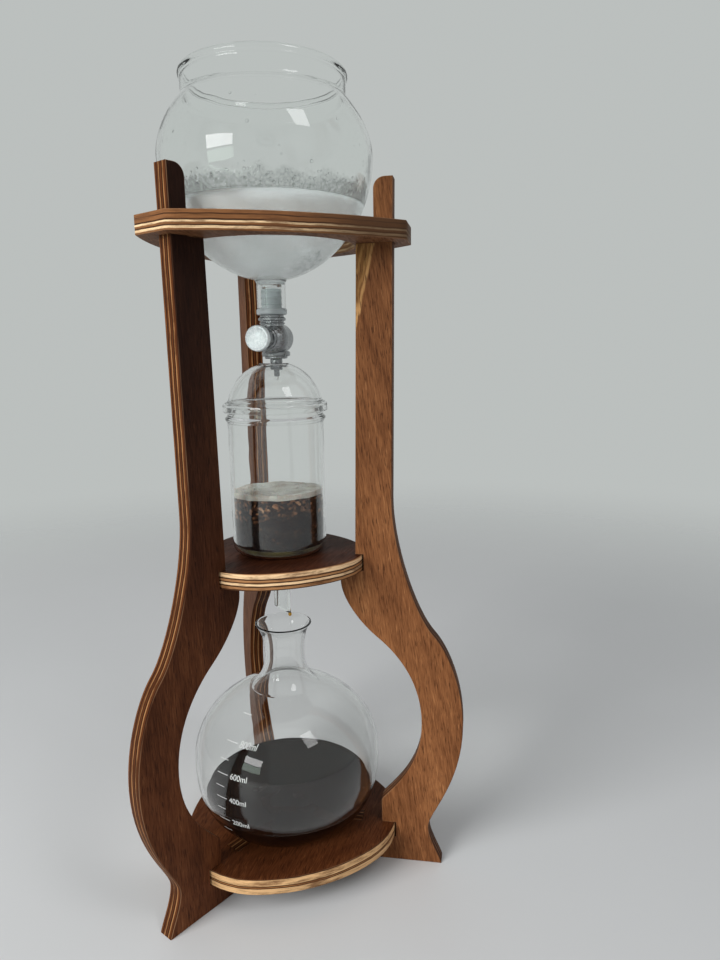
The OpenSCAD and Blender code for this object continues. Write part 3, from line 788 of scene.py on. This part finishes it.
def condensation():
    """Drops inside over the water, with a patch of them at the right, and some outside below the ring."""
    rng = random.Random(5)
    bm = bmesh.new()
    right = math.atan2(PHOTO_RIGHT[1], PHOTO_RIGHT[0])
    for i in range(1100):
        kind = rng.random()
        angle = rng.uniform(0, math.tau)
        height = WATER_LEVEL + 1.2 + 9 * rng.random() ** 1.3
        out = False
        if kind > 0.93:
            height = rng.uniform(WATER_LEVEL + 8, BULB_EQ_H + 20)
        elif kind > 0.8:
            angle = rng.gauss(right, 0.22)
            height = WATER_LEVEL + 2 + 26 * rng.random() ** 1.2
        elif kind > 0.6:
            angle = rng.gauss(right - 0.55, 0.22)
            height = rng.uniform(BULB_EQ_H - 68, BULB_EQ_H - 56)
            out = True
        r = bulb_inner_r(height)
        slope = bulb_inner_r(height + 0.5) - bulb_inner_r(height - 0.5)
        inward = Vector((-math.cos(angle), -math.sin(angle), slope)).normalized()
        at = Vector((r * math.cos(angle), r * math.sin(angle), height)) * MM
        if out:
            inward = -inward
            at += inward * BULB_WALL * MM
        bead(bm, at + inward * 0.05 * MM, inward, (0.25 + 0.75 * rng.random() ** 3) * MM, 0.5)
    finished("condensation", bm, WATER, "bulb")


water_bulb()
water()
condensation()

# ---- stopper, tube and valve ----
NEEDLE = (
    AXIS
    @ Matrix.Translation((0, 0, VALVE_H * MM))
    @ Matrix.Rotation(math.radians(KNOB_AZIMUTH), 4, "Z")
    @ Matrix.Rotation(math.pi / 2, 4, "Y")
)
ALONG = AXIS.inverted() @ NEEDLE
TO_OUTLET = Matrix.Translation(
    Matrix.Rotation(math.radians(KNOB_AZIMUTH), 3, "Z") @ Vector((NOZZLE_OFFSET * MM, 0, 0))
)


def stopper():
    bore = 4.05
    rib = STEM_BORE_R - 0.02
    core = rib - 0.5
    profile = [(bore, VALVE_TOP), (9.0, VALVE_TOP), (9.7, VALVE_TOP + 0.6)]
    profile += [(9.7, STEM_H - 1), (9.2, STEM_H - 0.3), (core, STEM_H - 0.3)]
    for low in (386.4, 390.2, 394):
        profile += [(core, low), (rib, low + 0.5), (rib, low + 0.9), (core, low + 1.4)]
    profile += [(core, STOPPER_TOP - 0.6), (core - 0.6, STOPPER_TOP), (bore, STOPPER_TOP)]
    finished("stopper_sleeve", turned(profile, 96), SILICONE, "bulb", "stopper_sleeve")


def inlet_tube():
    low, high = TUBE_ENDS
    profile = [(2.4, low), (4, low), (4, high - 0.4), (3.6, high), (2.6, high), (2.4, high - 0.2)]
    finished("inlet_tube", turned(profile, 64), STEEL, "bulb", "inlet_tube")


def valve_body():
    """Ball-shaped body with collars above and below, a boss towards the knob and a domed cap behind."""
    bm = turned(arc((0, VALVE_H), 10.8, -90, 90, 24), 96)
    rod(bm, 7.6, VALVE_H, VALVE_TOP, 0.3)
    rod(bm, 8.8, 376.6, 378.8, 0.5)
    rod(bm, 8.2, 374.6, 375.6, 0.3)
    rod(bm, 7.4, VALVE_BOTTOM, VALVE_H, 0.5, move=TO_OUTLET)
    rod(bm, 9.2, 354, 357.4, 0.7, move=TO_OUTLET)
    rod(bm, 6.8, 0, 11.5, 0.5, move=ALONG)
    rod(bm, 4.6, 11.5, 14.6, 0.2, move=ALONG)
    cap = [(0, -15), (5.4, -15), (7.8, -14.2), (9.2, -12.8), (9.6, -11.4), (9.6, 0), (0, 0)]
    turned(cap, 64, into=bm, move=ALONG)
    finished("valve_body", bm, CHROME, "bulb", "valve_body")


def drip_nozzle():
    bm = bmesh.new()
    step, tip = NOZZLE_STEP_H, NOZZLE_BOTTOM
    nut = [(0, step), (3.5, step), (4, step + 0.5), (4, 348.4), (3.4, 348.8), (3.4, 349.6), (4, 350)]
    nut += [(4, VALVE_BOTTOM - 0.4), (3.6, VALVE_BOTTOM), (0, VALVE_BOTTOM)]
    turned(nut, 48, into=bm, move=TO_OUTLET)
    spout = [(1.0, tip), (1.5, tip), (1.8, tip + 0.5), (1.8, step + 0.2), (1.0, step + 0.2)]
    turned(spout, 48, into=bm, move=TO_OUTLET)
    finished("drip_nozzle", bm, CHROME, "bulb", "drip_nozzle")
    drop = [(0, -2.6), (0.9, -2.2), (1.35, -1.3), (1.2, -0.5), (0.98, 0.1), (0, 0.1)]
    place = AXIS @ TO_OUTLET @ Matrix.Translation((0, 0, tip * MM))
    hanging_drop("hanging_drop", drop, 32, WATER, "bulb", place)


def gland_nut():
    """Hexagonal nut with chamfered corners over the packing."""
    bm = bmesh.new()
    levels = [(5.4, 11.5), (6.4, 12.2), (6.4, 16.2), (5.3, 17.0), (2.05, 17.0), (2.05, 16.0)]
    angles = [math.pi / 3 * i for i in range(6)]
    rings = [
        [bm.verts.new((r * MM * math.cos(a), r * MM * math.sin(a), u * MM)) for a in angles]
        for r, u in levels
    ]
    for low, high in zip(rings, rings[1:]):
        for i in range(6):
            bm.faces.new([low[i], low[(i + 1) % 6], high[(i + 1) % 6], high[i]])
    for end in (rings[0], rings[-1]):
        bm.faces.new(end)
    bmesh.ops.recalc_face_normals(bm, faces=bm.faces)
    bmesh.ops.transform(bm, matrix=Matrix.Rotation(math.radians(9), 4, "Z"), verts=bm.verts)
    nut = finished("gland_nut", bm, CHROME, "bulb", "gland_nut", NEEDLE)
    edges = nut.modifiers.new("edges", "BEVEL")
    edges.width = 0.25 * MM
    edges.segments = 2


def needle():
    cone = [(0, -3), (0.3, -3), (1.5, -0.6), (1.5, 3.2)]
    spindle = [(2.4, 3.6), (2.4, 12.8), (2, 13.1), (2, 23.8), (0, 23.8)]
    finished("needle", turned(cone + spindle, 48), STEEL, "spindle", "needle", NEEDLE)


def valve_knob():
    """Thin turned knob with a knurled rim, a hub behind and a shallow dish in its face."""
    back, front = KNOB_BACK, KNOB_FACE
    hub = [(2.05, 18.6), (3.8, 18.6), (4.2, 19.0), (4.2, 20.4), (4.6, back), (7.2, back)]
    rim = [(7.75, back + 0.45), (KNOB_R, back + 0.9), (KNOB_R, front - 0.9), (7.75, front - 0.4)]
    face = [(7.2, front), (6.6, front), (6.3, front - 0.25), (1.2, front - 0.35), (0.001, front - 0.35)]
    bore = [(0.001, 23.9), (2.05, 23.9)]
    bm = turned(hub + rim + face + bore, 288)
    ridges, depth = 48, 0.035
    for vert in bm.verts:
        r = math.hypot(vert.co.x, vert.co.y)
        if r > 7.6 * MM:
            angle = math.atan2(vert.co.y, vert.co.x)
            groove = 1 - depth * (0.5 + 0.5 * math.cos(ridges * angle))
            vert.co.x *= groove
            vert.co.y *= groove
    finished("valve_knob", bm, knob_material(), "knob", "valve_knob", NEEDLE, sharp=50)


SILICONE = silicone_material()
stopper()
inlet_tube()
valve_body()
drip_nozzle()
gland_nut()
needle()
valve_knob()
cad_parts["packing_ring"].material_slots[0].material = rubber_material()

# ---- dome and brewing chamber ----
# Centre and radius of the round between the chamber's wall and its bottom
CORNER, CORNER_R = (CHAMBER_R - 7, CHAMBER_BOTTOM + 7), 7


def dome_lid():
    """The dome turns out into its skirt in a soft S of even wall."""
    bore = SKIRT_R - CHAMBER_WALL
    top = SKIRT_H[1]
    outer_end = math.degrees(math.acos((DOME_HOLE_R + 0.9) / DOME_R))
    inner_r = DOME_R - CHAMBER_WALL
    inner_end = math.degrees(math.acos((DOME_HOLE_R + 0.4) / inner_r))
    outer_dome = arc((0, DOME_CENTRE_H), DOME_R, 13.6, outer_end, 40)
    inner_dome = arc((0, DOME_CENTRE_H), inner_r, inner_end, 11.2, 40)
    profile = [(bore, SKIRT_H[0] + 0.5)] + arc((SKIRT_R - 0.9, SKIRT_H[0] + 0.9), 0.9, 210, 360, 8)
    profile += bow((SKIRT_R, top - 2.6), (SKIRT_R, top - 0.1), (30.9, top - 0.9), outer_dome[0], 12)
    profile += outer_dome[1:]
    rim = (DOME_HOLE_R + 0.8, DOME_CENTRE_H + math.sqrt(DOME_R**2 - DOME_HOLE_R**2) - 0.85)
    profile += arc(rim, 0.8, 80, 280, 8)
    profile += inner_dome[:-1]
    profile += bow(inner_dome[-1], (29.4, top - 1.9), (bore, top - 1.2), (bore, top - 3.9), 12)
    finished("dome_lid", turned(profile, 144), CHAMBER_GLASS, "dome", "dome_lid", sharp=60)


def brew_chamber():
    """The tube's end is cut on a slant, and a drop of coffee hangs from its lower side."""
    wall, low, tube = CHAMBER_R, CHAMBER_BOTTOM, DRIP_TUBE_R
    inner = low + CHAMBER_WALL
    bead_low, bead_high = BEAD_H
    middle = (bead_low + bead_high) / 2
    profile = [(tube, DRIP_TIP[0]), (tube, low - 4)]
    profile += bow((tube, low - 4), (5.6, low - 1), (6.2, low), (8.6, low), 8)
    profile += arc(CORNER, CORNER_R, -90, 0, 12)
    for start, turn_h, end in (
        ((wall, bead_low - 1), bead_low + 0.6, (BEAD_R, middle)),
        ((BEAD_R, middle), bead_high - 0.6, (wall, bead_high + 0.2)),
    ):
        profile += bow(start, (start[0], turn_h), (end[0], turn_h), end, 8)
    profile += arc((wall - 0.9, CHAMBER_TOP - 0.9), 0.9, 0, 180, 10)
    profile += arc(CORNER, CORNER_R - CHAMBER_WALL, 0, -90, 12) + [(6.2, inner)]
    profile += bow((6.2, inner), (5, inner), (DRIP_BORE_R, inner - 0.4), (DRIP_BORE_R, inner - 2), 6)
    profile += [(DRIP_BORE_R, DRIP_TIP[0] + 1), (DRIP_BORE_R + 0.35, DRIP_TIP[0])]
    bm = turned(profile, 144)
    slant = (DRIP_TIP[1] - DRIP_TIP[0]) / (2 * tube)
    for vert in bm.verts:
        if vert.co.z < (DRIP_TIP[0] + 1.5) * MM:
            vert.co.z += (tube * MM - vert.co.x) * slant
    finished("brew_chamber", bm, CHAMBER_GLASS, "chamber", "brew_chamber", sharp=60)
    drop = [(0, -3.4), (0.8, -3.1), (1.3, -2.2), (1.2, -1.2), (0.7, 0.2), (0.3, 2.2), (0, 2.6)]
    place = AXIS @ Matrix.Translation(((tube - 0.8) * MM, -0.6 * MM, (DRIP_TIP[0] + 0.6) * MM))
    hanging_drop("coffee_drop", drop, 24, amber_material(), "chamber", place)


def filter_pad():
    r = CHAMBER_INNER_R - 0.05
    low, high = FILTER_H
    profile = [(0, low), (r - 6.0, low + 0.1)]
    profile += arc(CORNER, CORNER_R - CHAMBER_WALL - 0.1, -80, -20, 8)
    bm = turned(profile + [(r, high - 0.4), (0, high - 0.1)], 144)
    for vert in bm.verts:
        radial = math.hypot(vert.co.x, vert.co.y)
        if radial > 25 * MM:
            rough = noise.noise(vert.co * 900)
            vert.co.x *= 1 - 0.006 * abs(rough)
            vert.co.y *= 1 - 0.006 * abs(rough)
    finished("filter_pad", bm, felt_material(), "chamber", "filter_pad")


def coffee_bed():
    """Packed grounds against the glass, with granules that stand out and hollows between them."""
    r = CHAMBER_INNER_R - 0.1
    low = FILTER_H[1]
    rows = 44
    profile = [(0, low)] + [(r, low + (GROUNDS_LEVEL - low) * i / rows) for i in range(rows + 1)]
    profile += [(r * i / 20, GROUNDS_LEVEL) for i in range(19, -1, -1)]
    bm = turned(profile, 220)
    for vert in bm.verts:
        grain = noise.noise(vert.co * 700) + 0.5 * noise.noise(vert.co * 1500)
        if vert.co.z > (GROUNDS_LEVEL - 0.1) * MM:
            vert.co.z -= (0.25 + 0.35 * grain) * MM
        else:
            shrink = 1 - 0.010 * max(0.0, grain)
            vert.co.x *= shrink
            vert.co.y *= shrink
    finished("coffee_bed", bm, grounds_material(), "chamber", "coffee_bed", sharp=0)


def paper_disc():
    """Wet paper that cockles over the grounds, under a broken skin of bubbles."""
    r = CHAMBER_INNER_R - 0.02
    level, top = GROUNDS_LEVEL - 0.4, GROUNDS_LEVEL + 0.2 + FOAM_T
    below = [(r * i / 24, level) for i in range(25)]
    side = [(r, level + (top - level) * i / 4) for i in range(1, 4)]
    above = [(r * i / 24, top) for i in range(24, -1, -1)]
    bm = turned(below + side + above, 160)
    for vert in bm.verts:
        swell = noise.noise(vert.co * 70) * 0.9 + noise.noise(vert.co * 420) * 0.25
        vert.co.z += max(-0.9, swell - 0.2) * MM
    rng = random.Random(9)
    for i in range(200):
        angle, reach = rng.uniform(0, math.tau), r * math.sqrt(rng.uniform(0.15, 1))
        at = Vector((reach * math.cos(angle) * 0.98, reach * math.sin(angle) * 0.98, top - 0.1)) * MM
        bead(bm, at, Vector((0, 0, 1)), rng.uniform(0.2, 0.7) * MM, 0.6)
    finished("paper_disc", bm, foam_material(), "chamber", "paper_disc", sharp=60)


dome_lid()
brew_chamber()
filter_pad()
coffee_bed()
paper_disc()

# ---- flask ----


def flask_outline(w):
    """Outline from the bottom up to the mouth, drawn in by w for the inside."""
    eq = FLASK_BOTTOM + FLASK_EQ
    waist = (FLASK_WAIST_R - w, FLASK_BOTTOM + 121.8)
    shoulder = ((FLASK_R - w) * super_r(FLASK_HIGH_LAST, 2), eq + (FLASK_HIGH - w) * FLASK_HIGH_LAST)
    last = (FLASK_EQ - w) / (FLASK_LOW - w)
    outline = half_body(eq, w - FLASK_LOW, FLASK_LOW_N, FLASK_R - w, last)[::-1]
    outline += half_body(eq, FLASK_HIGH - w, 2, FLASK_R - w, FLASK_HIGH_LAST)[1:]
    outline += bow(shoulder, (19 - w, FLASK_BOTTOM + 103 - w / 2), (waist[0], FLASK_BOTTOM + 108), waist, 14)
    mouth = (FLASK_MOUTH_R - 0.9 * w, FLASK_BOTTOM + FLASK_H - 0.9)
    outline += bow(waist, (waist[0], FLASK_BOTTOM + 131), (15.5 - w, FLASK_BOTTOM + 139), mouth, 14)
    return outline


def flask():
    lip = arc((FLASK_MOUTH_R - 0.85, FLASK_BOTTOM + FLASK_H - 0.9), 0.9, 20, 160, 8)
    inside = flask_outline(FLASK_WALL)
    rounded = [(0, FLASK_BOTTOM + FLASK_WALL)] + inside
    profile = [(0, FLASK_BOTTOM)] + flask_outline(0)[:-1] + lip + rounded[:-1][::-1]
    finished("flask", turned(profile, 176), FLASK_GLASS, "flask", "flask", sharp=60)


def brewed_coffee():
    """The coffee meets the glass without a gap and climbs a little at the wall."""
    touch = FLASK_WALL - SINK
    wet = [p for p in flask_outline(touch) if p[1] < COFFEE_LEVEL]
    share = (FLASK_BOTTOM + FLASK_EQ - COFFEE_LEVEL - CLIMB) / (FLASK_LOW - touch)
    wall_r = (FLASK_R - touch) * super_r(share, FLASK_LOW_N)
    coffee = turned([(0, wet[0][1])] + wet + meniscus(wall_r, COFFEE_LEVEL), 176)
    finished("brewed_coffee", coffee, coffee_material(), "flask", "brewed_coffee", sharp=60)


def level_of(volume):
    """Height at which the flask holds a volume in millilitres."""
    inside = flask_outline(FLASK_WALL)
    held = 0.0
    for (r1, h1), (r2, h2) in zip(inside, inside[1:]):
        slice_ml = math.pi * (h2 - h1) * (r1 * r1 + r1 * r2 + r2 * r2) / 3000
        if slice_ml > 0 and held + slice_ml >= volume:
            return h1 + (h2 - h1) * (volume - held) / slice_ml
        held += slice_ml
    return inside[-1][1]


# The marks start at this azimuth and sit a little over the levels that the outline gives, as in the photo.
MARK_AZIMUTH, MARK_LIFT = 210, 4.5


def on_flask(x, y, height):
    """Wraps a flat mark at (x, y) mm from its anchor onto the flask's outside."""
    eq = FLASK_BOTTOM + FLASK_EQ
    up = height + y
    half, n = (FLASK_HIGH, 2) if up > eq else (FLASK_LOW, FLASK_LOW_N)
    r = FLASK_R * super_r((up - eq) / half, n) + 0.06
    a = math.radians(MARK_AZIMUTH) + x / r
    return Vector((r * math.cos(a), r * math.sin(a), up)) * MM


def graduations():
    """Fired-on ticks every 100 ml, with figures every 200 ml, spaced as the flask's own volume gives."""
    bm = bmesh.new()
    for volume in range(100, 1000, 100):
        height = level_of(volume) + MARK_LIFT
        length = 9 if volume % 200 == 0 else 7
        for i in range(8):
            x1, x2 = length * i / 8, length * (i + 1) / 8
            corners = [(x1, -0.2), (x2, -0.2), (x2, 0.2), (x1, 0.2)]
            bm.faces.new([bm.verts.new(on_flask(x, y, height)) for x, y in corners])
        if volume % 200 == 0:
            words = bpy.data.curves.new("figure", "FONT")
            words.body = f"{volume}ml"
            words.size = 5.2
            letters = mesh_of("figure", words)
            for vert in letters.vertices:
                vert.co = on_flask(vert.co.x + 11, vert.co.y - 1.7, height)
            bm.from_mesh(letters)
    bmesh.ops.remove_doubles(bm, verts=bm.verts, dist=1e-6)
    thickness = bmesh.ops.extrude_face_region(bm, geom=list(bm.faces))
    raised = [v for v in thickness["geom"] if isinstance(v, bmesh.types.BMVert)]
    for vert in raised:
        vert.co += vert.co.xy.to_3d().normalized() * 0.08 * MM
    bmesh.ops.recalc_face_normals(bm, faces=bm.faces)
    finished("graduations", bm, enamel_material(), "flask")


flask()
brewed_coffee()
graduations()

# ---- camera, floor, room and lamps ----
RIGHT = Vector((*PHOTO_RIGHT, 0))
# Fitted to the photo: tilt and roll in radians, place in metres, lens in millimetres
PITCH, ROLL = 0.18263, -0.016141
CAMERA_AT, LENS = (-0.1138, -0.4942, 0.3597), 27.15
LAMP_AIM = Vector((0, AXIS_Y * MM, 0.25))


def photo_camera():
    """The camera fitted to the photograph: a 27 mm lens, level with the valve and tilted down."""
    ahead = Vector((-RIGHT.y * math.cos(PITCH), RIGHT.x * math.cos(PITCH), -math.sin(PITCH)))
    up = RIGHT.cross(ahead)
    across = RIGHT * math.cos(ROLL) + up * math.sin(ROLL)
    above = across.cross(ahead)
    data = bpy.data.cameras.new("camera")
    data.lens = LENS
    data.clip_start, data.clip_end = 0.02, 30
    camera = linked("camera", data)
    turn = Matrix((across, above, -ahead)).transposed().to_4x4()
    camera.matrix_world = Matrix.Translation(CAMERA_AT) @ turn
    bpy.context.scene.camera = camera


def floor():
    """A pale table that fades into the plain background."""
    bm = bmesh.new()
    bmesh.ops.create_circle(bm, cap_ends=True, radius=2.5, segments=128)
    mesh = bpy.data.meshes.new("floor")
    bm.to_mesh(mesh)
    bm.free()
    s = Shader("pale_floor", Roughness=0.45)
    clouds = s.noise(s.at, 3.0, 3)
    s.paint(s.mix(clouds, (0.66, 0.665, 0.67), (0.70, 0.705, 0.71)))
    s.fade_out(s.between(s.length(s.at), 0.45, 1.5))
    mesh.materials.append(s.material)
    plane = linked("floor", mesh)


def room():
    """A plain pale background, seen directly, in metal and through glass, over a dimmer even light."""
    world = bpy.data.worlds.new("room")
    bpy.context.scene.world = world
    world.use_nodes = True
    tree = world.node_tree
    background = tree.nodes["Background"]
    path = tree.nodes.new("ShaderNodeLightPath")
    seen = path.outputs["Is Camera Ray"]
    for name in ("Is Glossy Ray", "Is Transmission Ray"):
        add = tree.nodes.new("ShaderNodeMath")
        add.operation = "MAXIMUM"
        tree.links.new(seen, add.inputs[0])
        tree.links.new(path.outputs[name], add.inputs[1])
        seen = add.outputs[0]
    mix = tree.nodes.new("ShaderNodeMix")
    mix.data_type = "RGBA"
    tree.links.new(seen, mix.inputs[0])
    mix.inputs[6].default_value = (0.27, 0.278, 0.284, 1)
    mix.inputs[7].default_value = (0.50, 0.525, 0.515, 1)
    tree.links.new(mix.outputs[2], background.inputs["Color"])


def lamp(name, azimuth, height, distance, width, tall, power, colour=(1, 1, 1), mirrored=True):
    """An area lamp at an azimuth round the tower that faces its axis, shown in reflections or not."""
    data = bpy.data.lights.new(name, "AREA")
    data.shape = "RECTANGLE"
    data.size, data.size_y = width, tall
    data.energy = power
    data.color = colour
    a = math.radians(azimuth)
    at = Vector((distance * math.cos(a), AXIS_Y * MM + distance * math.sin(a), height))
    lit = linked(name, data)
    facing = at - LAMP_AIM
    lit.matrix_world = Matrix.Translation(at) @ facing.to_track_quat("Z", "Y").to_matrix().to_4x4()
    lit.visible_camera = lit.visible_transmission = False
    lit.visible_glossy = mirrored


bpy.context.scene.view_settings.view_transform = "Standard"
photo_camera()
floor()
room()
lamp("soft_key", 200, 1.30, 2.2, 1.4, 1.4, 46.0, mirrored=False)
lamp("window_bright", 210, 0.62, 1.25, 0.6, 0.22, 3.6)
lamp("window_sill", 210, 0.38, 1.25, 0.6, 0.20, 1.2, colour=(0.80, 1.0, 0.86))
lamp("window_right", 295, 1.12, 0.85, 0.30, 0.46, 2.4)
lamp("window_behind", 80, 0.58, 0.93, 0.06, 0.06, 0.1)
